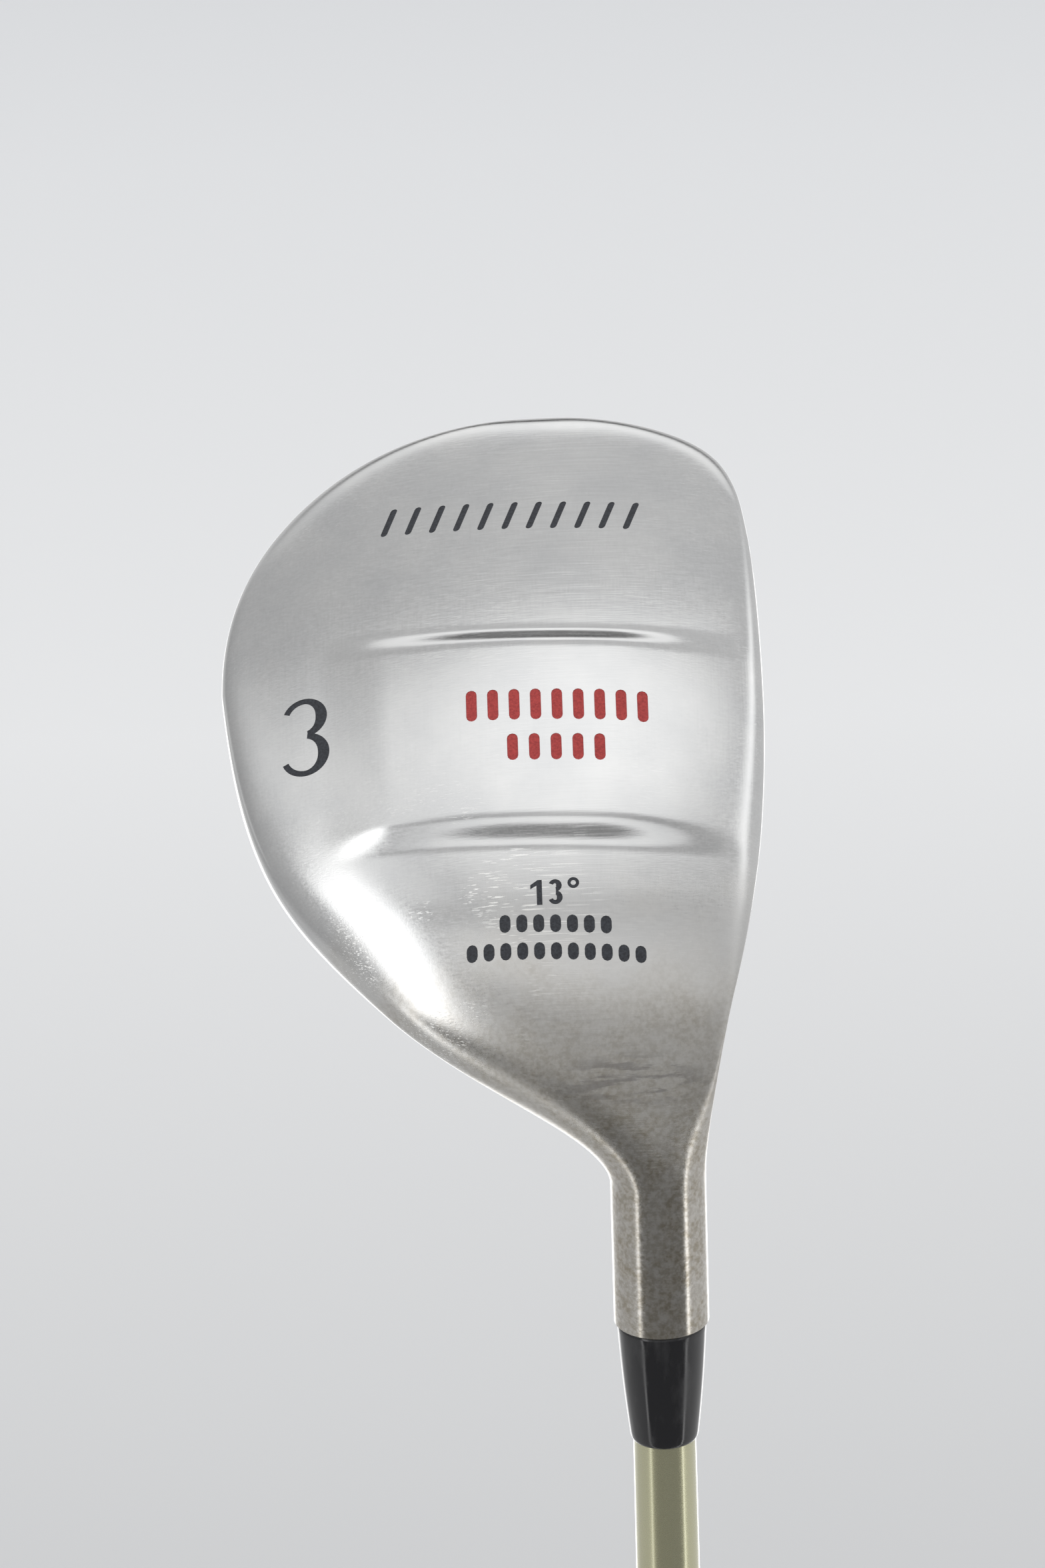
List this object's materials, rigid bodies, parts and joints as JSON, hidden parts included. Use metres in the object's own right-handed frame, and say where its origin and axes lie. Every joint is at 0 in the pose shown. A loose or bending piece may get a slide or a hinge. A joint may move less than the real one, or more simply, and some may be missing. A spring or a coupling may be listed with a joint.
{
  "type": "fairway wood",
  "caption": "Golf fairway wood with a hollow steel head, railed sole plate, tapered black ferrule, hollow graphite shaft and rubber grip.",
  "frame": {"origin": "centre of the grip cap's outer face, on the shaft axis", "axes": "+Z along the shaft axis from the butt of the grip to the head, +X the way the face looks (the target), -Y and up the way the sole looks"},
  "size_m": [0.0753, 0.0958, 1.1357],
  "materials": {
    "head_steel": "satin cast stainless steel",
    "plate_steel": "finely brushed stainless steel",
    "foam": "rigid foam",
    "dark_paint": "charcoal enamel in the engraving",
    "red_paint": "red enamel in the engraving",
    "epoxy": "cured adhesive",
    "brass": "turned",
    "ferrule_black": "polished black",
    "shaft_paint": "champagne metallic under clear coat",
    "tape": "paper tape",
    "grip_rubber": "moulded rubber"
  },
  "bodies": {
    "root": {"head_body": "head_steel", "sole_plate": "plate_steel", "foam_core": "foam", "number_paint": "dark_paint", "loft_paint": "dark_paint", "accent_paint": "red_paint", "ornament_paint": "dark_paint", "hosel_epoxy": "epoxy", "tip_weight": "brass", "ferrule": "ferrule_black", "shaft": "shaft_paint", "grip_tape": "tape", "grip_sleeve": "grip_rubber", "grip_cap": "grip_rubber"}
  },
  "joints": []
}
